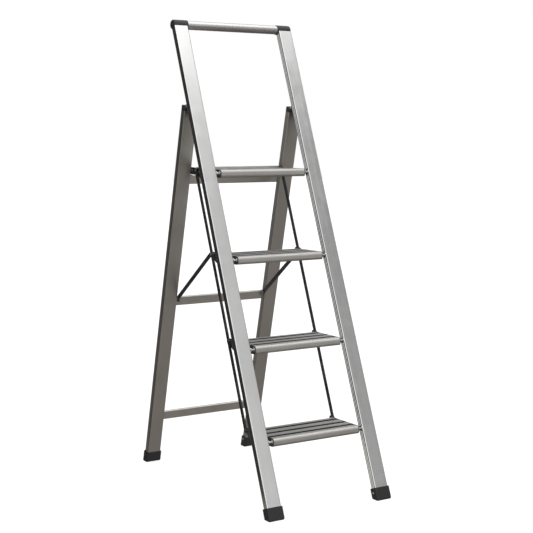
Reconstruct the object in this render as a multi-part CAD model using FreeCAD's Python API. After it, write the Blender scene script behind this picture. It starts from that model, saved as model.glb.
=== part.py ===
import FreeCAD, Part
import math
import os
from FreeCAD import Placement, Rotation, Vector

# Four-tread folding platform step ladder, standing open. Millimetres.
# +X is across the ladder, +Y runs from the climbing side to the rear legs, +Z is up,
# and the origin is on the floor at the middle of the footprint.
#
# Most pieces are drawn in one of three working frames and then placed:
#   front frame: (x, n, u), n = depth behind the stiles' front face, u = distance up the stile
#   rear frame:  (x, n, u), n = depth behind the legs' front face, u = distance up the leg
#   tread frame: (x, y, z), measured from the tread's front pivot axis

# Overall stance
FRONT_LEAN = 21.0
REAR_LEAN = 13.5
FRONT_TOE_Y = -354.4
HALF_WIDTH = 193.3

# Extruded profile of the stiles and the rear legs
PROFILE_WIDTH = 42.6
PROFILE_DEPTH = 18.5
PROFILE_WALL = 1.8
PROFILE_CORNER = 2.4
SIDE_GROOVES = (5.0, 11.2)
SIDE_GROOVE_WIDTH = 2.4
SIDE_GROOVE_DEPTH = 0.9
INNER_FACE = HALF_WIDTH - PROFILE_WIDTH
STILE_FOOT_U = 12.0
STILE_TOP_U = 1371.0
LEG_FOOT_U = 8.0
LEG_TOP_U = 1073.0

# Handle across the top of the stiles
HANDLE_U = 1378.5
HANDLE_N = 12.5
HANDLE_RADIUS = 12.3
HANDLE_WALL = 1.5
CONNECTOR_RADIUS = 13.8
CONNECTOR_REACH = 3.0
SOCKET_DEPTH = 24.0

# Hinge between the two frames
HINGE_U = 1140.0
HINGE_GAP = 5.0
KNUCKLE_RADIUS = 4.5
HINGE_PIN_RADIUS = 2.5
LEAF_THICKNESS = 2.0
LEAF_LOW_U = 1094.0
LEAF_TOP_U = 1146.0
CAP_TOP_U = 1087.0

# Treads, from the platform down
TREAD_TOPS = (884.0, 654.0, 424.0, 194.0)
TREAD_BACKS = (133.0, 112.0, 112.0, 112.0)
TREAD_THICKNESS = 22.0
TREAD_PIVOT_DEPTH = 10.0
TREAD_NOSE = 9.0
TREAD_HALF_LENGTH = 136.0
TREAD_WALL = 1.6
NOSE_TOP_RADIUS = 8.5
NOSE_LOW_RADIUS = 7.5
TREAD_WEB = 1.4
GRIP_POSITIONS = (0.185, 0.495, 0.785)
GRIP_WIDTH = 13.5
GRIP_DEPTH = 1.6
GRIP_RIBS = 5
LIP_HEIGHT = 5.0
LIP_THICKNESS = 3.0
CAP_THICKNESS = 2.2
CAP_FACE = TREAD_HALF_LENGTH + CAP_THICKNESS
HOOK_THICKNESS = 2.0
EAR_RIVET = (102.0, -11.0)
HOOK_CAP_RIVET = (108.0, 2.0)
HOOK_TAIL_RIVET = (148.0, 5.0)
RIVET_RADIUS = 2.0
FRONT_PIVOT_N = 7.5
FRONT_PIVOT_RADIUS = 3.2

# Rear pivots of the treads, which carry the link bars
REAR_PIVOT_Y = 121.5
REAR_PIVOT_Z = 6.5
REAR_PIVOT_RADIUS = 2.5
LINK_INNER = 141.0
LINK_THICKNESS = 4.0
LINK_HALF_WIDTH = 4.6
LINK_BOSS = 6.2

# Struts between the second tread's rear pivots and the rear legs
STRUT_INNER = 145.7
STRUT_THICKNESS = 3.4
STRUT_HALF_WIDTH = 5.6
STRUT_FOOT_N = 3.4
STRUT_FOOT_U = 519.28
STRUT_HEAD_TREAD = 1

# Cross bars of the rear frame
BAR_CENTRES = {"top": 874.5, "middle": 508.5, "lower": 143.5}
BAR_HEIGHT = 26.0
BAR_RECESS = 9.5
BAR_DEPTH = 9.0
BAR_WALL = 1.2

# Feet
BOOT_PROUD = 3.25
BOOT_CORNER = 4.5
FRONT_BOOT_HEIGHT = 36.0
REAR_BOOT_HEIGHT = 30.5
SOLE_EDGE = 4.5
BOOT_SCREW_U = 23.0
BOOT_SCREW_RADIUS = 1.7
SOLE_GROOVE = 1.4

# Clearances
SNUG = 0.1
RUNNING = 0.1

# Derived positions
HINGE_N = PROFILE_DEPTH + HINGE_GAP
FRONT_COS = math.cos(math.radians(FRONT_LEAN))
FRONT_SIN = math.sin(math.radians(FRONT_LEAN))
REAR_COS = math.cos(math.radians(REAR_LEAN))
REAR_SIN = math.sin(math.radians(REAR_LEAN))
HINGE_Y = FRONT_TOE_Y + HINGE_N * FRONT_COS + HINGE_U * FRONT_SIN
HINGE_Z = HINGE_U * FRONT_COS - HINGE_N * FRONT_SIN
REAR_HINGE_U = (HINGE_Z + HINGE_GAP * REAR_SIN) / REAR_COS
REAR_TOE_Y = HINGE_Y + HINGE_GAP * REAR_COS + REAR_HINGE_U * REAR_SIN

FRONT_FRAME = Placement(Vector(0, FRONT_TOE_Y, 0), Rotation(Vector(1, 0, 0), -FRONT_LEAN))
REAR_FRAME = Placement(Vector(0, REAR_TOE_Y, 0), Rotation(Vector(1, 0, 0), REAR_LEAN))


# ---------------------------------------------------------------- shape helpers

def box(x_range, y_range, z_range):
    """A box between two limits on each axis."""
    corner = Vector(x_range[0], y_range[0], z_range[0])
    size = (x_range[1] - x_range[0], y_range[1] - y_range[0], z_range[1] - z_range[0])
    return Part.makeBox(size[0], size[1], size[2], corner)


def rod_x(x_range, y, z, radius):
    """A round rod along X."""
    return Part.makeCylinder(radius, x_range[1] - x_range[0], Vector(x_range[0], y, z), Vector(1, 0, 0))


def rod_y(x, y_range, z, radius):
    """A round rod along Y."""
    return Part.makeCylinder(radius, y_range[1] - y_range[0], Vector(x, y_range[0], z), Vector(0, 1, 0))


def union(shapes):
    """One solid out of several that overlap."""
    joined = shapes[0]
    for shape in shapes[1:]:
        joined = joined.fuse(shape)
    return joined.removeSplitter()


def is_along(edge, axis):
    """True when a straight edge runs along an axis."""
    first = edge.Vertexes[0].Point
    last = edge.Vertexes[-1].Point
    run = last.sub(first)
    return run.Length > 1e-6 and abs(run.dot(axis)) > 0.999 * run.Length


def round_edges(solid, radius, axis, keep=None):
    """Fillet the edges along an axis, or those of them whose centre passes keep."""
    edges = [edge for edge in solid.Edges if is_along(edge, axis)]
    if keep:
        edges = [edge for edge in edges if keep(edge.CenterOfMass)]
    return solid.makeFillet(radius, edges)


def rounded_plate(points, radius, x_range):
    """A plate across X: a convex outline in Y and Z, grown outwards by its corner radius."""
    corners = [Vector(x_range[0], y, z) for y, z in points]
    outline = Part.Face(Part.makePolygon(corners + corners[:1]))
    return outline.makeOffset2D(radius).extrude(Vector(x_range[1] - x_range[0], 0, 0))


def flat_bar(start, end, half_width, x_range, end_radius):
    """A flat bar across X with round ends, between two points in Y and Z."""
    run = end.sub(start)
    across = Vector(1, 0, 0).cross(run).normalize().multiply(half_width)
    corners = [start.add(across), end.add(across), end.sub(across), start.sub(across)]
    corners = [Vector(x_range[0], corner.y, corner.z) for corner in corners]
    body = Part.Face(Part.makePolygon(corners + corners[:1])).extrude(Vector(x_range[1] - x_range[0], 0, 0))
    ends = [rod_x(x_range, point.y, point.z, end_radius) for point in (start, end)]
    return union([body] + ends)


def dome_head(x_range, y, z, radius):
    """A low domed rivet head along X; x_range runs from its seat to its crown."""
    low, high = sorted(x_range)
    head = rod_x((low, high), y, z, radius)
    crown = [edge for edge in head.Edges if abs(edge.CenterOfMass.x - x_range[1]) < 1e-6]
    return head.makeFillet(0.7 * (high - low), crown)


def placed(shape, frame):
    """A copy of a shape moved out of its working frame."""
    return shape.transformed(frame.toMatrix())


def left_of(shape):
    """The left-hand twin of a right-hand piece."""
    return shape.mirror(Vector(0, 0, 0), Vector(1, 0, 0))


def save(node, shapes):
    """Write one node; a group of equal pieces is written as separate solids."""
    shapes = shapes if isinstance(shapes, list) else [shapes]
    solids = [solid for shape in shapes for solid in shape.Solids]
    whole = solids[0] if len(solids) == 1 else Part.makeCompound(solids)
    whole.exportStep(os.path.join("parts", node + ".step"))


def save_pair(node, shape):
    """Write a right-hand piece and its left-hand twin as two nodes."""
    save(node + "_right", shape)
    save(node + "_left", left_of(shape))


def tread_frame(index):
    """The placement of a tread's own frame on the ladder."""
    pivot = FRONT_FRAME.multVec(Vector(0, FRONT_PIVOT_N, front_pivot_u(index)))
    return Placement(pivot, Rotation())


def rear_pivot(index):
    """A tread's rear pivot in the ladder's own frame."""
    return tread_frame(index).multVec(Vector(0, REAR_PIVOT_Y, REAR_PIVOT_Z))


# ---------------------------------------------------------------- front frame

def profile_length(low_u, high_u):
    """A length of the hollow profile of stiles and legs, on the right side: its grooves face inwards."""
    up = Vector(0, 0, 1)
    bar = box((INNER_FACE, HALF_WIDTH), (0, PROFILE_DEPTH), (low_u, high_u))
    bar = round_edges(bar, PROFILE_CORNER, up)
    hollow = box(
        (INNER_FACE + PROFILE_WALL, HALF_WIDTH - PROFILE_WALL),
        (PROFILE_WALL, PROFILE_DEPTH - PROFILE_WALL),
        (low_u - 1, high_u + 1),
    )
    bar = bar.cut(round_edges(hollow, PROFILE_CORNER - PROFILE_WALL, up))
    for groove in SIDE_GROOVES:
        across = (groove, groove + SIDE_GROOVE_WIDTH)
        along = (low_u - 1, high_u + 1)
        bar = bar.cut(box((INNER_FACE - 1, INNER_FACE + SIDE_GROOVE_DEPTH), across, along))
    return bar


def front_pivot_u(index):
    """Where a tread's front pivot sits along the stile."""
    pivot_z = TREAD_TOPS[index] - TREAD_PIVOT_DEPTH
    return (pivot_z + FRONT_PIVOT_N * FRONT_SIN) / FRONT_COS


def leaf_rivet_spots():
    """The rivets that hold a hinge leaf to its stile: x and u of each."""
    middle = (INNER_FACE + HALF_WIDTH) / 2
    return [(middle - 11, LEAF_LOW_U + 9), (middle + 11, LEAF_LOW_U + 9)]


def stile():
    """Right-hand front stile, coped at the top to take the handle connector."""
    bar = profile_length(STILE_FOOT_U, STILE_TOP_U)
    cope = rod_x((INNER_FACE - 1, HALF_WIDTH + 1), HANDLE_N, HANDLE_U, CONNECTOR_RADIUS + SNUG)
    bar = bar.cut(cope)
    wall = (INNER_FACE - 1, INNER_FACE + PROFILE_WALL + 1)
    for index in range(len(TREAD_TOPS)):
        bar = bar.cut(rod_x(wall, FRONT_PIVOT_N, front_pivot_u(index), FRONT_PIVOT_RADIUS + SNUG))
    for x, u in leaf_rivet_spots():
        bar = bar.cut(rod_y(x, (PROFILE_DEPTH - PROFILE_WALL - 1, PROFILE_DEPTH + 1), u, RIVET_RADIUS + SNUG))
    return bar.cut(rod_x(wall, PROFILE_DEPTH / 2, BOOT_SCREW_U, BOOT_SCREW_RADIUS + SNUG))


def handle_connector():
    """Right-hand moulded connector: a socket for the handle tube with a plug in the stile."""
    outer = rod_x((INNER_FACE - CONNECTOR_REACH, HALF_WIDTH + 0.5), HANDLE_N, HANDLE_U, CONNECTOR_RADIUS)
    outer = outer.makeFillet(5.0, [edge for edge in outer.Edges if edge.CenterOfMass.x > HALF_WIDTH])
    inner_rim = [edge for edge in outer.Edges if edge.CenterOfMass.x < INNER_FACE]
    outer = outer.makeFillet(1.2, [edge for edge in inner_rim if not is_along(edge, Vector(1, 0, 0))])
    inset = PROFILE_WALL + SNUG
    plug = box(
        (INNER_FACE + inset, HALF_WIDTH - inset),
        (inset, PROFILE_DEPTH - inset),
        (HANDLE_U - 50, HANDLE_U - 2),
    )
    plug = round_edges(plug, 1.0, Vector(0, 0, 1))
    socket_range = (INNER_FACE - CONNECTOR_REACH - 1, INNER_FACE + SOCKET_DEPTH)
    socket = rod_x(socket_range, HANDLE_N, HANDLE_U, HANDLE_RADIUS + SNUG)
    return union([outer, plug]).cut(socket)


def handle_tube():
    """Round grip tube seated in both connectors."""
    end = INNER_FACE - 0.5 + SOCKET_DEPTH
    tube = rod_x((-end, end), HANDLE_N, HANDLE_U, HANDLE_RADIUS)
    return tube.cut(rod_x((-end - 1, end + 1), HANDLE_N, HANDLE_U, HANDLE_RADIUS - HANDLE_WALL))


def knuckle_spans():
    """Where the hinge knuckles lie across X: the leaf's two, and the leg cap's one between them."""
    middle = (INNER_FACE + HALF_WIDTH) / 2
    return (INNER_FACE + 1, middle - 9), (middle + 9, HALF_WIDTH - 1), (middle - 8.6, middle + 8.6)


def hinge_leaf():
    """Right-hand hinge leaf on the back of the stile, with two knuckles."""
    inner, outer, between = knuckle_spans()
    plate = box(
        (inner[0], outer[1]),
        (PROFILE_DEPTH, PROFILE_DEPTH + LEAF_THICKNESS),
        (LEAF_LOW_U, LEAF_TOP_U),
    )
    plate = round_edges(plate, 4.0, Vector(0, 1, 0))
    shapes = [plate]
    knuckle_height = (HINGE_U - KNUCKLE_RADIUS, HINGE_U + KNUCKLE_RADIUS)
    for span in (inner, outer):
        shapes.append(rod_x(span, HINGE_N, HINGE_U, KNUCKLE_RADIUS))
        shapes.append(box(span, (PROFILE_DEPTH, HINGE_N), knuckle_height))
    leaf = union(shapes)
    room = (between[0] - 0.4, between[1] + 0.4)
    leaf = leaf.cut(rod_x(room, HINGE_N, HINGE_U, KNUCKLE_RADIUS + 0.4))
    through = (PROFILE_DEPTH - 1, PROFILE_DEPTH + LEAF_THICKNESS + 1)
    for x, u in leaf_rivet_spots():
        leaf = leaf.cut(rod_y(x, through, u, RIVET_RADIUS + SNUG))
    return leaf.cut(rod_x((INNER_FACE, HALF_WIDTH), HINGE_N, HINGE_U, HINGE_PIN_RADIUS + SNUG / 2))


def hinge_pin():
    """Right-hand hinge pin with a head at each end."""
    inner, outer, _ = knuckle_spans()
    low = inner[0] - SNUG
    high = outer[1] + SNUG
    return union([
        rod_x((low, high), HINGE_N, HINGE_U, HINGE_PIN_RADIUS),
        dome_head((low, low - 1.2), HINGE_N, HINGE_U, 3.6),
        dome_head((high, high + 1.2), HINGE_N, HINGE_U, 3.6),
    ])


def leaf_rivet(x, u):
    """A domed rivet through a hinge leaf and the back wall of the stile."""
    face = PROFILE_DEPTH + LEAF_THICKNESS
    head = rod_y(x, (face + SNUG / 2, face + 1.6), u, 3.6)
    crown = [edge for edge in head.Edges if abs(edge.CenterOfMass.y - face - 1.6) < 1e-6]
    return union([head.makeFillet(1.0, crown), rod_y(x, (PROFILE_DEPTH - 4, face + 1), u, RIVET_RADIUS)])


def tread_pivot_pin(index):
    """The right-hand pin a tread turns on, shouldered against the stile."""
    u = front_pivot_u(index)
    pin = rod_x((TREAD_HALF_LENGTH - 15, INNER_FACE + 4), FRONT_PIVOT_N, u, FRONT_PIVOT_RADIUS)
    shoulder = rod_x((INNER_FACE - 1.8, INNER_FACE - SNUG / 2), FRONT_PIVOT_N, u, 7.0)
    spacer = rod_x((CAP_FACE + 0.2, LINK_INNER - 0.4), FRONT_PIVOT_N, u, 7.5)
    return union([pin, shoulder, spacer])


# ---------------------------------------------------------------- rear frame

def rear_leg():
    """Right-hand rear leg."""
    bar = profile_length(LEG_FOOT_U, LEG_TOP_U)
    wall = (INNER_FACE - 1, INNER_FACE + PROFILE_WALL + 1)
    bar = bar.cut(rod_x(wall, STRUT_FOOT_N, STRUT_FOOT_U, REAR_PIVOT_RADIUS + SNUG))
    return bar.cut(rod_x(wall, PROFILE_DEPTH / 2, BOOT_SCREW_U, BOOT_SCREW_RADIUS + SNUG))


def rear_leg_cap():
    """Right-hand moulded leg cap: a plug in the leg and the middle knuckle of the hinge."""
    between = knuckle_spans()[2]
    block = box((INNER_FACE, HALF_WIDTH), (0, PROFILE_DEPTH), (LEG_TOP_U + SNUG, CAP_TOP_U))
    block = round_edges(block, PROFILE_CORNER, Vector(0, 0, 1))
    top = [edge for edge in block.Edges if abs(edge.CenterOfMass.z - CAP_TOP_U) < 1e-6]
    block = block.makeFillet(1.5, top)
    inset = PROFILE_WALL + SNUG
    plug = box(
        (INNER_FACE + inset, HALF_WIDTH - inset),
        (inset, PROFILE_DEPTH - inset),
        (LEG_TOP_U - 28, LEG_TOP_U + 2),
    )
    plug = round_edges(plug, 1.0, Vector(0, 0, 1))
    knuckle = rod_x(between, -HINGE_GAP, REAR_HINGE_U, KNUCKLE_RADIUS)
    web = box(between, (-HINGE_GAP, 2), (REAR_HINGE_U - KNUCKLE_RADIUS, CAP_TOP_U - 2))
    bore = rod_x((INNER_FACE, HALF_WIDTH), -HINGE_GAP, REAR_HINGE_U, HINGE_PIN_RADIUS + RUNNING)
    return union([block, plug, knuckle, web]).cut(bore)


def cross_bar(centre_u):
    """A hollow bar between the rear legs, set back to leave room for the struts and treads."""
    half = INNER_FACE - SNUG / 2
    low_u = centre_u - BAR_HEIGHT / 2
    high_u = centre_u + BAR_HEIGHT / 2
    back_n = BAR_RECESS + BAR_DEPTH
    bar = round_edges(box((-half, half), (BAR_RECESS, back_n), (low_u, high_u)), 2.0, Vector(1, 0, 0))
    hollow = box(
        (-half - 1, half + 1),
        (BAR_RECESS + BAR_WALL, back_n - BAR_WALL),
        (low_u + BAR_WALL, high_u - BAR_WALL),
    )
    return bar.cut(hollow)


def strut_bracket():
    """Right-hand lug on the front of the middle bar that carries the inner end of the strut pin."""
    x_range = (STRUT_INNER - 4.7, STRUT_INNER - 1.2)
    low_u = STRUT_FOOT_U - 6
    points = [
        (STRUT_FOOT_N, STRUT_FOOT_U),
        (STRUT_FOOT_N, low_u),
        (BAR_RECESS, low_u),
        (BAR_RECESS, STRUT_FOOT_U),
    ]
    lug = rounded_plate(points, 4.5, x_range)
    lug = lug.cut(box((0, HALF_WIDTH), (BAR_RECESS - SNUG / 2, 40), (0, LEG_TOP_U)))
    return lug.cut(rod_x(x_range, STRUT_FOOT_N, STRUT_FOOT_U, REAR_PIVOT_RADIUS + SNUG / 2))


def strut_pin():
    """Right-hand pin of the strut's lower end, shouldered against the leg."""
    pin = rod_x((STRUT_INNER - 4.2, INNER_FACE + 2.5), STRUT_FOOT_N, STRUT_FOOT_U, REAR_PIVOT_RADIUS)
    shoulder = rod_x((STRUT_INNER + STRUT_THICKNESS + 0.2, INNER_FACE - SNUG / 2),
                     STRUT_FOOT_N, STRUT_FOOT_U, 4.5)
    return union([pin, shoulder])


# ---------------------------------------------------------------- feet

def boot(frame, bar_foot_u, height):
    """Right-hand foot: a moulded boot around the end of a stile or leg, cut level with the floor."""
    across = (INNER_FACE - BOOT_PROUD, HALF_WIDTH + BOOT_PROUD)
    deep = (-BOOT_PROUD, PROFILE_DEPTH + BOOT_PROUD)
    shell = round_edges(box(across, deep, (-20, height)), BOOT_CORNER, Vector(0, 0, 1))
    rim = [edge for edge in shell.Edges if abs(edge.CenterOfMass.z - height) < 1e-6]
    shell = shell.makeFillet(1.0, rim)
    cavity = box(
        (INNER_FACE - SNUG, HALF_WIDTH + SNUG),
        (-SNUG, PROFILE_DEPTH + SNUG),
        (bar_foot_u - SNUG, height + 1),
    )
    shell = shell.cut(round_edges(cavity, PROFILE_CORNER, Vector(0, 0, 1)))
    screw_hole = (INNER_FACE - BOOT_PROUD - 1, INNER_FACE + 1)
    shell = shell.cut(rod_x(screw_hole, PROFILE_DEPTH / 2, BOOT_SCREW_U, BOOT_SCREW_RADIUS + SNUG))
    shell = placed(shell, frame)
    floor = box((0, 2 * HALF_WIDTH), (-600, 600), (-60, 0))
    shell = shell.cut(floor)
    sole = [edge for edge in shell.Edges if edge.BoundBox.ZMax < 1e-4]
    shell = shell.makeFillet(SOLE_EDGE, sole)
    centre_y = frame.multVec(Vector(0, PROFILE_DEPTH / 2, 0)).y
    for offset in (-6.5, 6.5):
        groove = (centre_y + offset - 0.9, centre_y + offset + 0.9)
        shell = shell.cut(box((0, 2 * HALF_WIDTH), groove, (-1, SOLE_GROOVE)))
    return shell


def boot_screw():
    """Right-hand screw through the inner side of a boot."""
    face = INNER_FACE - BOOT_PROUD - SNUG / 2
    n = PROFILE_DEPTH / 2
    screw = union([
        dome_head((face, face - 1.5), n, BOOT_SCREW_U, 3.2),
        rod_x((face - 0.5, INNER_FACE + 6), n, BOOT_SCREW_U, BOOT_SCREW_RADIUS),
    ])
    slot = box((face - 2, face - 0.8), (n - 2.2, n + 2.2), (BOOT_SCREW_U - 0.35, BOOT_SCREW_U + 0.35))
    return screw.cut(slot)


# ---------------------------------------------------------------- treads

def grip_spans(back):
    """The Y range of each grip strip on a tread."""
    depth = back + TREAD_NOSE
    centres = [back - share * depth for share in GRIP_POSITIONS]
    return [(centre - GRIP_WIDTH / 2, centre + GRIP_WIDTH / 2) for centre in centres]


def tread_outline(back, x_range, inset=0.0):
    """The outer shape of a tread, a board with a round nose, or the same shape inset from it."""
    top = TREAD_PIVOT_DEPTH - inset
    bottom = TREAD_PIVOT_DEPTH - TREAD_THICKNESS + inset
    front = inset - TREAD_NOSE
    board = box(x_range, (front, back - inset), (bottom, top))
    along = Vector(1, 0, 0)
    board = round_edges(board, NOSE_TOP_RADIUS - inset, along, lambda c: c.y < 0 < c.z)
    board = round_edges(board, NOSE_LOW_RADIUS - inset, along, lambda c: c.y < front + 1 and c.z < bottom + 1)
    return round_edges(board, 2.0 - inset, along, lambda c: c.y > back - inset - 1e-3)


def rear_lip(back):
    """The low upstand along the platform's rear edge."""
    top = TREAD_PIVOT_DEPTH + LIP_HEIGHT
    across = (back - 2 - LIP_THICKNESS, back - 2)
    lip = box((-TREAD_HALF_LENGTH, TREAD_HALF_LENGTH), across, (TREAD_PIVOT_DEPTH - 1, top))
    return round_edges(lip, 1.2, Vector(1, 0, 0), lambda c: c.z > top - 1e-3)


def tread_board(back, has_lip):
    """Hollow extruded tread with three channels for grip strips and a web between them."""
    top = TREAD_PIVOT_DEPTH
    ceiling = top - GRIP_DEPTH - TREAD_WALL
    board = tread_outline(back, (-TREAD_HALF_LENGTH, TREAD_HALF_LENGTH))
    past_end = (-TREAD_HALF_LENGTH - 1, TREAD_HALF_LENGTH + 1)
    hollow = tread_outline(back, past_end, TREAD_WALL)
    for low, high in grip_spans(back):
        hollow = hollow.cut(box(past_end, (low - TREAD_WALL, high + TREAD_WALL), (ceiling, top)))
        board = board.cut(box(past_end, (low, high), (top - GRIP_DEPTH, top + 1)))
        web = (low + high - TREAD_WEB) / 2
        hollow = hollow.cut(box(past_end, (web, web + TREAD_WEB), (-TREAD_THICKNESS, top)))
    board = board.cut(hollow)
    return union([board, rear_lip(back)]) if has_lip else board


def grip_strips(back):
    """The three ribbed strips pressed into a tread's channels."""
    top = TREAD_PIVOT_DEPTH
    length = (-TREAD_HALF_LENGTH + SNUG, TREAD_HALF_LENGTH - SNUG)
    strips = []
    for low, high in grip_spans(back):
        floor = top - GRIP_DEPTH + SNUG / 2
        strip = box(length, (low + SNUG, high - SNUG), (floor, top - 0.6))
        pitch = (high - low) / GRIP_RIBS
        ribs = []
        for rib in range(GRIP_RIBS):
            centre = low + pitch * (rib + 0.5)
            ribs.append(box(length, (centre - 0.3 * pitch, centre + 0.3 * pitch), (floor, top + 0.1)))
        strips.append(union([strip] + ribs))
    return strips


def tread_cap(back):
    """Right-hand end cap: a plate over the tread's end, a bored plug, and the ear behind."""
    plate = tread_outline(back, (TREAD_HALF_LENGTH, CAP_FACE))
    ear_outline = [(96, -11.5), (106, -11.5), (124, 2), (124, 8.5), (115, 8.5), (96, 5)]
    ear = rounded_plate(ear_outline, 4.5, (TREAD_HALF_LENGTH, CAP_FACE))
    plug = tread_outline(back, (TREAD_HALF_LENGTH - 18, TREAD_HALF_LENGTH + 1), TREAD_WALL + SNUG)
    plug = plug.common(box((0, HALF_WIDTH), (-TREAD_NOSE, 8), (-TREAD_THICKNESS, TREAD_THICKNESS)))
    cap = union([plate, ear, plug])
    cap = cap.cut(rod_x((0, CAP_FACE + 1), 0, 0, FRONT_PIVOT_RADIUS + RUNNING))
    cap = cap.cut(rod_x((0, CAP_FACE + 1), REAR_PIVOT_Y, REAR_PIVOT_Z, REAR_PIVOT_RADIUS + SNUG / 2))
    fastener_y, fastener_z = HOOK_CAP_RIVET if back > REAR_PIVOT_Y else EAR_RIVET
    return cap.cut(rod_x((TREAD_HALF_LENGTH, CAP_FACE + 1), fastener_y, fastener_z, RIVET_RADIUS + SNUG))


def rear_pivot_pin(back):
    """Right-hand rear pivot of a tread: headed beyond the link bar, and behind the ear where it is clear."""
    link_face = LINK_INNER + LINK_THICKNESS
    y, z = REAR_PIVOT_Y, REAR_PIVOT_Z
    shapes = [
        rod_x((TREAD_HALF_LENGTH + SNUG, link_face + 0.3), y, z, REAR_PIVOT_RADIUS),
        rod_x((CAP_FACE + SNUG / 2, LINK_INNER - 0.2), y, z, 4.2),
        dome_head((link_face + 0.1, link_face + 0.45), y, z, 4.2),
    ]
    if back < REAR_PIVOT_Y:
        shapes.append(rod_x((TREAD_HALF_LENGTH - 0.5, TREAD_HALF_LENGTH + 1), y, z, REAR_PIVOT_RADIUS))
        shapes.append(dome_head((TREAD_HALF_LENGTH - SNUG / 2, TREAD_HALF_LENGTH - 1.3), y, z, 3.4))
    return union(shapes)


def ear_rivet():
    """Right-hand rivet in the lower lobe of a tread's ear."""
    y, z = EAR_RIVET
    return union([
        dome_head((CAP_FACE + SNUG / 2, CAP_FACE + 1.4), y, z, 3.4),
        rod_x((TREAD_HALF_LENGTH + 0.5, CAP_FACE + 0.5), y, z, RIVET_RADIUS),
    ])


def platform_hook():
    """Right-hand plate on the platform that rests on the top bar of the rear frame."""
    points = [(106, -1), (106, 9), (154, 11), (156, 9), (156, -3.2), (112, -3.2)]
    x_range = (CAP_FACE + SNUG, CAP_FACE + SNUG + HOOK_THICKNESS)
    hook = rounded_plate(points, 3.0, x_range)
    hook = hook.cut(rod_x(x_range, REAR_PIVOT_Y, REAR_PIVOT_Z, 4.5))
    for y, z in (HOOK_CAP_RIVET, HOOK_TAIL_RIVET):
        hook = hook.cut(rod_x(x_range, y, z, RIVET_RADIUS + SNUG))
    return hook


def hook_rivets():
    """Right-hand rivets of a platform hook: one through the cap, one in its tail."""
    face = CAP_FACE + SNUG + HOOK_THICKNESS
    y, z = HOOK_CAP_RIVET
    through_cap = union([
        dome_head((face + SNUG / 2, face + 0.5), y, z, 3.2),
        rod_x((TREAD_HALF_LENGTH + 0.5, face + 0.4), y, z, RIVET_RADIUS),
    ])
    y, z = HOOK_TAIL_RIVET
    in_tail = union([
        dome_head((face + SNUG / 2, face + 0.5), y, z, 3.2),
        rod_x((CAP_FACE, face + 0.4), y, z, RIVET_RADIUS),
        dome_head((CAP_FACE + SNUG / 2, CAP_FACE - 1.4), y, z, 3.6),
    ])
    return [through_cap, in_tail]


# ---------------------------------------------------------------- links

def link_bar():
    """Right-hand bar that ties the rear pivots of all four treads together."""
    x_range = (LINK_INNER, LINK_INNER + LINK_THICKNESS)
    pivots = [rear_pivot(index) for index in range(len(TREAD_TOPS))]
    bar = flat_bar(pivots[-1], pivots[0], LINK_HALF_WIDTH, x_range, LINK_BOSS)
    bar = union([bar] + [rod_x(x_range, pivot.y, pivot.z, LINK_BOSS) for pivot in pivots[1:-1]])
    for pivot in pivots:
        bar = bar.cut(rod_x(x_range, pivot.y, pivot.z, REAR_PIVOT_RADIUS + RUNNING))
    return bar


def strut_ends():
    """Lower and upper pivot of a strut in the ladder's own frame."""
    foot = REAR_FRAME.multVec(Vector(0, STRUT_FOOT_N, STRUT_FOOT_U))
    return foot, rear_pivot(STRUT_HEAD_TREAD)


def strut():
    """Right-hand strut from the rear leg to the second tread's rear pivot."""
    foot, head = strut_ends()
    x_range = (STRUT_INNER, STRUT_INNER + STRUT_THICKNESS)
    bar = flat_bar(foot, head, STRUT_HALF_WIDTH, x_range, STRUT_HALF_WIDTH)
    for pivot in (foot, head):
        bar = bar.cut(rod_x(x_range, pivot.y, pivot.z, REAR_PIVOT_RADIUS + RUNNING))
    return bar


def strut_rivet():
    """Right-hand rivet in the upper end of a strut."""
    head = strut_ends()[1]
    face = STRUT_INNER + STRUT_THICKNESS
    return union([
        dome_head((face + SNUG / 2, face + 1.0), head.y, head.z, 4.2),
        rod_x((STRUT_INNER + 0.1, face + 0.5), head.y, head.z, REAR_PIVOT_RADIUS),
    ])


# ---------------------------------------------------------------- assembly

def build_front():
    """Write the front frame's nodes."""
    save_pair("front_stile", placed(stile(), FRONT_FRAME))
    save("handle_tube", placed(handle_tube(), FRONT_FRAME))
    save_pair("handle_connector", placed(handle_connector(), FRONT_FRAME))
    save_pair("hinge_leaf", placed(hinge_leaf(), FRONT_FRAME))
    save_pair("front_foot", boot(FRONT_FRAME, STILE_FOOT_U, FRONT_BOOT_HEIGHT))
    pin = placed(hinge_pin(), FRONT_FRAME)
    save("hinge_pins", [pin, left_of(pin)])
    screw = placed(boot_screw(), FRONT_FRAME)
    save("front_foot_screws", [screw, left_of(screw)])
    rivets = [placed(leaf_rivet(x, u), FRONT_FRAME) for x, u in leaf_rivet_spots()]
    save("hinge_leaf_rivets", rivets + [left_of(rivet) for rivet in rivets])
    pins = [placed(tread_pivot_pin(index), FRONT_FRAME) for index in range(len(TREAD_TOPS))]
    save("tread_pivot_pins", pins + [left_of(pin) for pin in pins])


def build_rear():
    """Write the rear frame's nodes."""
    save_pair("rear_leg", placed(rear_leg(), REAR_FRAME))
    save_pair("rear_leg_cap", placed(rear_leg_cap(), REAR_FRAME))
    save_pair("rear_foot", boot(REAR_FRAME, LEG_FOOT_U, REAR_BOOT_HEIGHT))
    save_pair("strut_bracket", placed(strut_bracket(), REAR_FRAME))
    for name, centre_u in BAR_CENTRES.items():
        save("rear_bar_" + name, placed(cross_bar(centre_u), REAR_FRAME))
    screw = placed(boot_screw(), REAR_FRAME)
    save("rear_foot_screws", [screw, left_of(screw)])
    pin = placed(strut_pin(), REAR_FRAME)
    save("strut_pins", [pin, left_of(pin)])


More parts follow.
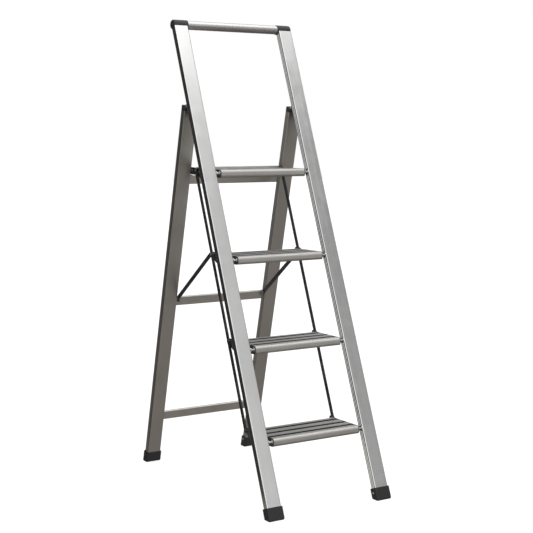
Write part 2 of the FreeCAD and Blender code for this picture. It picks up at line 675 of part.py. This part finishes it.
def build_tread(index):
    """Write one tread's nodes; the platform is number 1."""
    frame = tread_frame(index)
    back = TREAD_BACKS[index]
    number = str(index + 1)
    save("tread_" + number, placed(tread_board(back, index == 0), frame))
    save("tread_" + number + "_grips", [placed(strip, frame) for strip in grip_strips(back)])
    save_pair("tread_" + number + "_cap", placed(tread_cap(back), frame))
    pin = placed(rear_pivot_pin(back), frame)
    save("tread_" + number + "_rear_pins", [pin, left_of(pin)])
    if index == 0:
        save_pair("platform_hook", placed(platform_hook(), frame))
        rivets = [placed(rivet, frame) for rivet in hook_rivets()]
        save("platform_hook_rivets", rivets + [left_of(rivet) for rivet in rivets])
    else:
        rivet = placed(ear_rivet(), frame)
        save("tread_" + number + "_ear_rivets", [rivet, left_of(rivet)])


def build_links():
    """Write the link bars and struts."""
    save_pair("link_bar", link_bar())
    save_pair("strut", strut())
    rivet = strut_rivet()
    save("strut_rivets", [rivet, left_of(rivet)])


os.makedirs("parts", exist_ok=True)
build_front()
build_rear()
for tread_index in range(len(TREAD_TOPS)):
    build_tread(tread_index)
build_links()
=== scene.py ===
import math
import bpy
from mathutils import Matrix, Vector

# A folding platform step ladder in brushed and anodised aluminium, with black moulded and coated parts.
# Metres, in the CAD frame: +X across the ladder, +Y towards the rear legs, +Z up.

# Camera
CAMERA_PLACE = (-1.8194, -2.9057, 0.9744)
CAMERA_YAW = math.radians(-32.348)
CAMERA_PITCH = math.radians(-6.059)
CAMERA_LENS = 82.87
SENSOR_WIDTH = 36.0
VIEW_DEPTH = 100.0

# Directions the metal was drawn or brushed in, as tilts about X from upright
STILE_TILT = math.radians(21.0)
LEG_TILT = math.radians(-13.5)

# Fineness of the drawn lines along X, Y and Z of the tilted piece, in waves per metre
EVEN = (1.0, 1.0, 1.0)
TALL_LINES = (280.0, 280.0, 1.5)
LEVEL_LINES = (1.5, 280.0, 280.0)
TUBE_LINES = (5.0, 900.0, 900.0)
TURNING_LINES = (1.0, 900.0, 900.0)

# Fineness of the textures that are the same in all directions, in waves per metre
ANODISING_CLOUDS = 9.0
HAND_SMUDGES = 34.0
PLASTIC_DUST = 22.0
COATING_PEEL = 420.0
COATING_DUST = 30.0
ZINC_CRYSTALS = 260.0
FLOOR_SPECKLE = 60.0
CLOTH_WEAVE = 400.0

# Colours of the aluminium pieces, fresh and worn
SILVER = (0.80, 0.80, 0.795)
SILVER_WORN = (0.74, 0.74, 0.735)
# The handle tube's silver is darker than the stiles': painted shade that dims the highlight on the tube
SHADED_TUBE = (0.62, 0.62, 0.615)
SHADED_TUBE_WORN = (0.57, 0.57, 0.565)
SATIN = (0.57, 0.562, 0.545)
SATIN_WORN = (0.52, 0.512, 0.495)
GREY = (0.70, 0.685, 0.66)
GREY_WORN = (0.62, 0.61, 0.59)
DULL = (0.62, 0.605, 0.58)
DULL_WORN = (0.55, 0.54, 0.52)

# Colours of the other materials
PLASTIC_BLACK = (0.022, 0.024, 0.027)
BOOT_BLACK = (0.014, 0.0145, 0.015)
GRIP_BLACK = (0.012, 0.012, 0.013)
COATING_BLACK = (0.012, 0.012, 0.013)
BARE_STEEL = (0.16, 0.16, 0.165)
ZINC = (0.42, 0.42, 0.41)
BRIGHT_STEEL = (0.74, 0.74, 0.73)

# Floor, and the black flag on the left
FLOOR_COLOR = (0.25, 0.25, 0.25)
FLOOR_GLOW = 0.90
FLOOR_WIDTH = 40.0
FLAG_COLOR = (0.030, 0.029, 0.028)
FLAG_PLACE = (-0.45, 0.40, 0.70)
FLAG_SCALE = (1.6, 0.95, 1.0)

# Soft light of the studio: towards where, from which cosine to which it fades in, and how bright
SOFT_LIGHTS = [
    # the pale upper half of the room
    ((0.0, 0.0, 1.0), 0.05, 0.35, 0.08),
    # a large soft box overhead
    ((0.18, -0.09, 0.90), 0.76, 0.78, 1.55),
    # a window in front on the left
    ((-0.20, -0.85, 0.37), 0.64, 0.82, 0.82),
    # the back wall, which the tread tops mirror
    ((0.30, 0.70, 0.50), 0.80, 0.97, 0.25),
    # light returned by the floor in front
    ((0.30, -0.90, -0.30), 0.60, 1.00, 0.12),
    # a strip light on the left, which draws the bright corner lines
    ((-0.80, -0.52, 0.15), 0.86, 0.97, 0.45),
    # the far wall on the left
    ((-0.50, 0.86, 0.0), 0.75, 0.95, 0.15),
]
STUDIO_BASE = 0.14

# The light is warm from below one height and white from above the other, both as sines of the elevation
WARM_BELOW = -0.25
WHITE_ABOVE = 0.15
WARM = (1.0, 0.92, 0.84)
WHITE = (1.0, 1.0, 1.0)


# ---------------------------------------------------------------- node helpers

# Socket numbers of a Mix node that mixes colours
MIX_FIRST = 6
MIX_SECOND = 7
MIX_RESULT = 2


def feed(tree, source, socket):
    """Drive a socket by another node's output, or set it to a number or a colour."""
    if isinstance(source, bpy.types.NodeSocket):
        tree.links.new(source, socket)
    elif isinstance(source, tuple):
        socket.default_value = (*source, 1.0)
    else:
        socket.default_value = source


def mix_colors(tree, amount, first, second):
    """A colour between two colours or colour outputs."""
    made = tree.nodes.new("ShaderNodeMix")
    made.data_type = "RGBA"
    feed(tree, amount, made.inputs["Factor"])
    feed(tree, first, made.inputs[MIX_FIRST])
    feed(tree, second, made.inputs[MIX_SECOND])
    return made.outputs[MIX_RESULT]


def shade(color, factor):
    """A colour made darker or lighter by a factor."""
    return tuple(factor * part for part in color)


class Shader:
    """A material's Principled shader with short calls for the texture nodes behind it."""

    def __init__(self, name, color, metallic=0.0, roughness=0.5, specular=0.5):
        self.material = bpy.data.materials.new(name)
        self.material.use_nodes = True
        self.tree = self.material.node_tree
        self.surface = self.tree.nodes["Principled BSDF"]
        self.surface.inputs["Base Color"].default_value = (*color, 1.0)
        self.surface.inputs["Metallic"].default_value = metallic
        self.surface.inputs["Roughness"].default_value = roughness
        self.surface.inputs["Specular IOR Level"].default_value = specular

    def link(self, output, socket):
        self.tree.links.new(output, socket)

    def mapping(self, vector, socket_name, value):
        """A vector turned or stretched by a mapping node."""
        made = self.tree.nodes.new("ShaderNodeMapping")
        made.vector_type = "POINT"
        made.inputs[socket_name].default_value = value
        self.link(vector, made.inputs["Vector"])
        return made.outputs["Vector"]

    def space(self, stretch=EVEN, tilt=0.0):
        """The object's own coordinates, turned by tilt about X, then stretched."""
        place = self.tree.nodes.new("ShaderNodeTexCoord")
        turned = self.mapping(place.outputs["Object"], "Rotation", (tilt, 0.0, 0.0))
        return self.mapping(turned, "Scale", stretch)

    def noise(self, where, scale, detail=3.0, roughness=0.55):
        made = self.tree.nodes.new("ShaderNodeTexNoise")
        made.inputs["Scale"].default_value = scale
        made.inputs["Detail"].default_value = detail
        made.inputs["Roughness"].default_value = roughness
        self.link(where, made.inputs["Vector"])
        return made.outputs["Fac"]

    def spread(self, value, low, high, start=0.3, end=0.7):
        """A texture value mapped from start..end to low..high."""
        made = self.tree.nodes.new("ShaderNodeMapRange")
        made.inputs["From Min"].default_value = start
        made.inputs["From Max"].default_value = end
        made.inputs["To Min"].default_value = low
        made.inputs["To Max"].default_value = high
        self.link(value, made.inputs["Value"])
        return made.outputs["Result"]

    def blend(self, amount, first, second):
        return mix_colors(self.tree, amount, first, second)

    def multiply(self, first, second):
        made = self.tree.nodes.new("ShaderNodeMath")
        made.operation = "MULTIPLY"
        self.link(first, made.inputs[0])
        self.link(second, made.inputs[1])
        return made.outputs["Value"]

    def bump(self, height, strength, distance):
        made = self.tree.nodes.new("ShaderNodeBump")
        made.inputs["Strength"].default_value = strength
        made.inputs["Distance"].default_value = distance
        self.link(height, made.inputs["Height"])
        self.link(made.outputs["Normal"], self.surface.inputs["Normal"])

    def edges(self, low, high):
        """How sharp an outer edge the surface point lies on, from 0 to 1."""
        made = self.tree.nodes.new("ShaderNodeNewGeometry")
        return self.spread(made.outputs["Pointiness"], 0.0, 1.0, low, high)

    def color(self, output):
        self.link(output, self.surface.inputs["Base Color"])

    def roughness(self, output):
        self.link(output, self.surface.inputs["Roughness"])


# ---------------------------------------------------------------- materials

def drawn_aluminium(name, color, worn, stretch, tilt, rough):
    """Extruded aluminium: fine draw lines along its length, cloudy anodising and a few handling marks."""
    metal = Shader(name, color, metallic=1.0, roughness=rough)
    lines = metal.noise(metal.space(stretch, tilt), 1.0, detail=1.5, roughness=0.6)
    clouds = metal.noise(metal.space(), ANODISING_CLOUDS, detail=3.0)
    smudges = metal.noise(metal.space(), HAND_SMUDGES, detail=5.0)
    tint = metal.blend(metal.spread(clouds, 0.0, 1.0), color, worn)
    metal.color(metal.blend(metal.spread(lines, 0.0, 0.20), tint, shade(color, 0.86)))
    grain = metal.spread(lines, rough - 0.02, rough + 0.03)
    metal.roughness(metal.multiply(grain, metal.spread(smudges, 0.92, 1.12, 0.35, 0.75)))
    metal.bump(lines, strength=0.025, distance=0.00008)
    return metal.material


def moulded_plastic(name, color, rough, pebble, shine=0.45):
    """Moulded polypropylene with a spark-eroded grain, a little dust and paler rubbed edges."""
    plastic = Shader(name, color, roughness=rough, specular=shine)
    grain = plastic.noise(plastic.space(), pebble, detail=2.0)
    dust = plastic.noise(plastic.space(), PLASTIC_DUST, detail=4.0)
    pale = tuple(min(1.0, 2.1 * part + 0.012) for part in color)
    rubbed = plastic.multiply(plastic.edges(0.52, 0.62), plastic.spread(dust, 0.2, 1.0))
    worn = plastic.blend(rubbed, color, pale)
    plastic.color(plastic.blend(plastic.spread(dust, 0.0, 0.35), worn, shade(color, 1.5)))
    plastic.roughness(plastic.spread(dust, rough - 0.07, rough + 0.1))
    plastic.bump(grain, strength=0.25, distance=0.00012)
    return plastic.material


def coated_steel(name, color, rough):
    """Satin black powder coat: slight orange peel, with bare metal showing through on worn edges."""
    coat = Shader(name, color, roughness=rough, specular=0.5)
    peel = coat.noise(coat.space(), COATING_PEEL, detail=1.0)
    dust = coat.noise(coat.space(), COATING_DUST, detail=4.0)
    edge = coat.multiply(coat.edges(0.56, 0.7), coat.spread(dust, 0.0, 0.6, 0.45, 0.7))
    coat.color(coat.blend(edge, color, BARE_STEEL))
    coat.roughness(coat.spread(dust, rough - 0.05, rough + 0.09))
    coat.bump(peel, strength=0.15, distance=0.0001)
    return coat.material


def plated_steel(name, color, rough):
    """Zinc-plated steel: crystalline mottling and fine turning marks."""
    plate = Shader(name, color, metallic=1.0, roughness=rough)
    mottle = plate.noise(plate.space(), ZINC_CRYSTALS, detail=3.0)
    turning = plate.noise(plate.space(TURNING_LINES), 1.0, detail=2.0)
    plate.color(plate.blend(plate.spread(mottle, 0.0, 1.0), color, shade(color, 0.78)))
    plate.roughness(plate.spread(mottle, rough - 0.06, rough + 0.08))
    plate.bump(turning, strength=0.08, distance=0.00005)
    return plate.material


def make_materials():
    """Every material, by the name used in the finish tables."""
    return {
        "stile": drawn_aluminium("stile_aluminium", SILVER, SILVER_WORN, TALL_LINES, STILE_TILT, rough=0.22),
        "leg": drawn_aluminium("leg_aluminium", DULL, DULL_WORN, TALL_LINES, LEG_TILT, rough=0.38),
        "bar": drawn_aluminium("bar_aluminium", GREY, GREY_WORN, LEVEL_LINES, LEG_TILT, rough=0.38),
        "tread": drawn_aluminium("tread_aluminium", SATIN, SATIN_WORN, LEVEL_LINES, 0.0, rough=0.55),
        # the handle takes the darkened silver, painted shade on its highlight
        "handle": drawn_aluminium("handle_aluminium_shaded", SHADED_TUBE, SHADED_TUBE_WORN, TUBE_LINES, 0.0, rough=0.28),
        "plastic": moulded_plastic("black_plastic", PLASTIC_BLACK, rough=0.46, pebble=900.0),
        "boot": moulded_plastic("foot_rubber", BOOT_BLACK, rough=0.58, pebble=650.0, shine=0.38),
        "grip": moulded_plastic("grip_rubber", GRIP_BLACK, rough=0.70, pebble=1100.0, shine=0.2),
        "coated": coated_steel("black_steel", COATING_BLACK, rough=0.34),
        "zinc": plated_steel("zinc_steel", ZINC, rough=0.4),
        "bright": plated_steel("fastener_steel", BRIGHT_STEEL, rough=0.24),
    }


# Which finish each kind of node takes; the first entry whose words start the node's name is used.
FINISHES = [
    ("tread_pivot_pins", "bright"),
    ("hinge_leaf", "coated"),
    ("hinge_pins", "bright"),
    ("front_stile", "stile"),
    ("handle_tube", "handle"),
    ("handle_connector", "plastic"),
    ("front_foot_screws", "bright"),
    ("rear_foot_screws", "bright"),
    ("front_foot", "boot"),
    ("rear_foot", "boot"),
    ("rear_leg_cap", "plastic"),
    ("rear_leg", "leg"),
    ("rear_bar", "bar"),
    ("platform_hook_rivets", "bright"),
    ("platform_hook", "coated"),
    ("link_bar", "coated"),
    ("strut_bracket", "zinc"),
    ("strut_pins", "bright"),
    ("strut_rivets", "bright"),
    ("strut", "coated"),
]
# The same for a tread's own pieces, by the word after the tread's number
TREAD_FINISHES = {"grips": "grip", "cap": "plastic", "rear": "bright", "ear": "bright"}


def finish_of(node_name):
    """The finish of a node, from its name."""
    for start, finish in FINISHES:
        if node_name.startswith(start):
            return finish
    words = node_name.split("_")
    return TREAD_FINISHES[words[2]] if len(words) > 2 else "tread"


def dress_nodes(nodes, materials):
    """Give every CAD node its material."""
    for name, piece in nodes.items():
        material = materials[finish_of(name)]
        for slot in piece.material_slots:
            slot.material = material


# ---------------------------------------------------------------- studio

def add_floor():
    """A wide white floor that glows enough to stay white, with a faint shadow under the feet."""
    bpy.ops.mesh.primitive_plane_add(size=FLOOR_WIDTH, location=(0.0, 0.0, 0.0))
    floor = bpy.context.object
    floor.name = "floor"
    paint = Shader("floor_white", FLOOR_COLOR, roughness=0.9, specular=0.1)
    speckle = paint.noise(paint.space(), FLOOR_SPECKLE)
    paint.color(paint.blend(paint.spread(speckle, 0.0, 1.0), FLOOR_COLOR, shade(FLOOR_COLOR, 0.96)))
    paint.surface.inputs["Emission Color"].default_value = (*WHITE, 1.0)
    paint.surface.inputs["Emission Strength"].default_value = FLOOR_GLOW
    floor.data.materials.append(paint.material)
    floor.visible_glossy = False


def add_flag():
    """A black flag beside the ladder, out of the camera's sight, that darkens its left-hand sides."""
    bpy.ops.mesh.primitive_plane_add(size=1.0, location=FLAG_PLACE, rotation=(0.0, math.pi / 2, 0.0))
    flag = bpy.context.object
    flag.name = "flag"
    flag.scale = FLAG_SCALE
    cloth = Shader("flag_cloth", FLAG_COLOR, roughness=0.95, specular=0.05)
    weave = cloth.noise(cloth.space(), CLOTH_WEAVE)
    cloth.bump(weave, strength=0.2, distance=0.0003)
    flag.data.materials.append(cloth.material)
    flag.visible_camera = False
    flag.visible_shadow = False


class Sky:
    """The world's node tree with short calls for lobes of light."""

    def __init__(self, name):
        self.world = bpy.data.worlds.new(name)
        self.world.use_nodes = True
        self.tree = self.world.node_tree
        self.tree.nodes.clear()
        self.place = self.tree.nodes.new("ShaderNodeTexCoord")

    def lobe(self, direction, start, end, brightness):
        """A value that goes smoothly from 0 to the brightness as the view nears a direction."""
        facing = self.tree.nodes.new("ShaderNodeVectorMath")
        facing.operation = "DOT_PRODUCT"
        facing.inputs[1].default_value = Vector(direction).normalized()
        self.tree.links.new(self.place.outputs["Generated"], facing.inputs[0])
        fade = self.tree.nodes.new("ShaderNodeMapRange")
        fade.interpolation_type = "SMOOTHSTEP"
        fade.inputs["From Min"].default_value = start
        fade.inputs["From Max"].default_value = end
        fade.inputs["To Min"].default_value = 0.0
        fade.inputs["To Max"].default_value = brightness
        self.tree.links.new(facing.outputs["Value"], fade.inputs["Value"])
        return fade.outputs["Result"]

    def add(self, first, second):
        made = self.tree.nodes.new("ShaderNodeMath")
        made.operation = "ADD"
        feed(self.tree, first, made.inputs[0])
        feed(self.tree, second, made.inputs[1])
        return made.outputs["Value"]

    def background(self, color, strength):
        made = self.tree.nodes.new("ShaderNodeBackground")
        feed(self.tree, color, made.inputs["Color"])
        feed(self.tree, strength, made.inputs["Strength"])
        return made.outputs["Background"]


def add_world():
    """White to the camera; a dim studio with large soft lights to everything else."""
    sky = Sky("studio")
    total = STUDIO_BASE
    for direction, start, end, brightness in SOFT_LIGHTS:
        total = sky.add(total, sky.lobe(direction, start, end, brightness))
    height = sky.lobe((0.0, 0.0, 1.0), WARM_BELOW, WHITE_ABOVE, 1.0)
    studio = sky.background(mix_colors(sky.tree, height, WARM, WHITE), total)
    white = sky.background(WHITE, 1.0)
    path = sky.tree.nodes.new("ShaderNodeLightPath")
    mix = sky.tree.nodes.new("ShaderNodeMixShader")
    sky.tree.links.new(path.outputs["Is Camera Ray"], mix.inputs["Fac"])
    sky.tree.links.new(studio, mix.inputs[1])
    sky.tree.links.new(white, mix.inputs[2])
    output = sky.tree.nodes.new("ShaderNodeOutputWorld")
    sky.tree.links.new(mix.outputs["Shader"], output.inputs["Surface"])
    bpy.context.scene.world = sky.world


def add_camera():
    """The camera, at the photograph's place and lens."""
    data = bpy.data.cameras.new("camera")
    data.lens = CAMERA_LENS
    data.sensor_width = SENSOR_WIDTH
    data.clip_end = VIEW_DEPTH
    camera = bpy.data.objects.new("camera", data)
    camera.location = CAMERA_PLACE
    camera.rotation_euler = (math.pi / 2 + CAMERA_PITCH, 0.0, CAMERA_YAW)
    bpy.context.scene.collection.objects.link(camera)
    bpy.context.scene.camera = camera


# ---------------------------------------------------------------- build

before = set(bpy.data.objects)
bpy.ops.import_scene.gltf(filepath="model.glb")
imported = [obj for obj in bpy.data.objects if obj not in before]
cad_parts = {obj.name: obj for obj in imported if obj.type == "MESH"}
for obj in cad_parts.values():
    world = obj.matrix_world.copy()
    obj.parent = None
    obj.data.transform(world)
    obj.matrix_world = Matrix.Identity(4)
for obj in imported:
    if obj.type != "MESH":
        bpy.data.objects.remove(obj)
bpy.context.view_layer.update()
dress_nodes(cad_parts, make_materials())
add_floor()
add_flag()
add_world()
add_camera()
bpy.context.scene.view_settings.view_transform = "Standard"
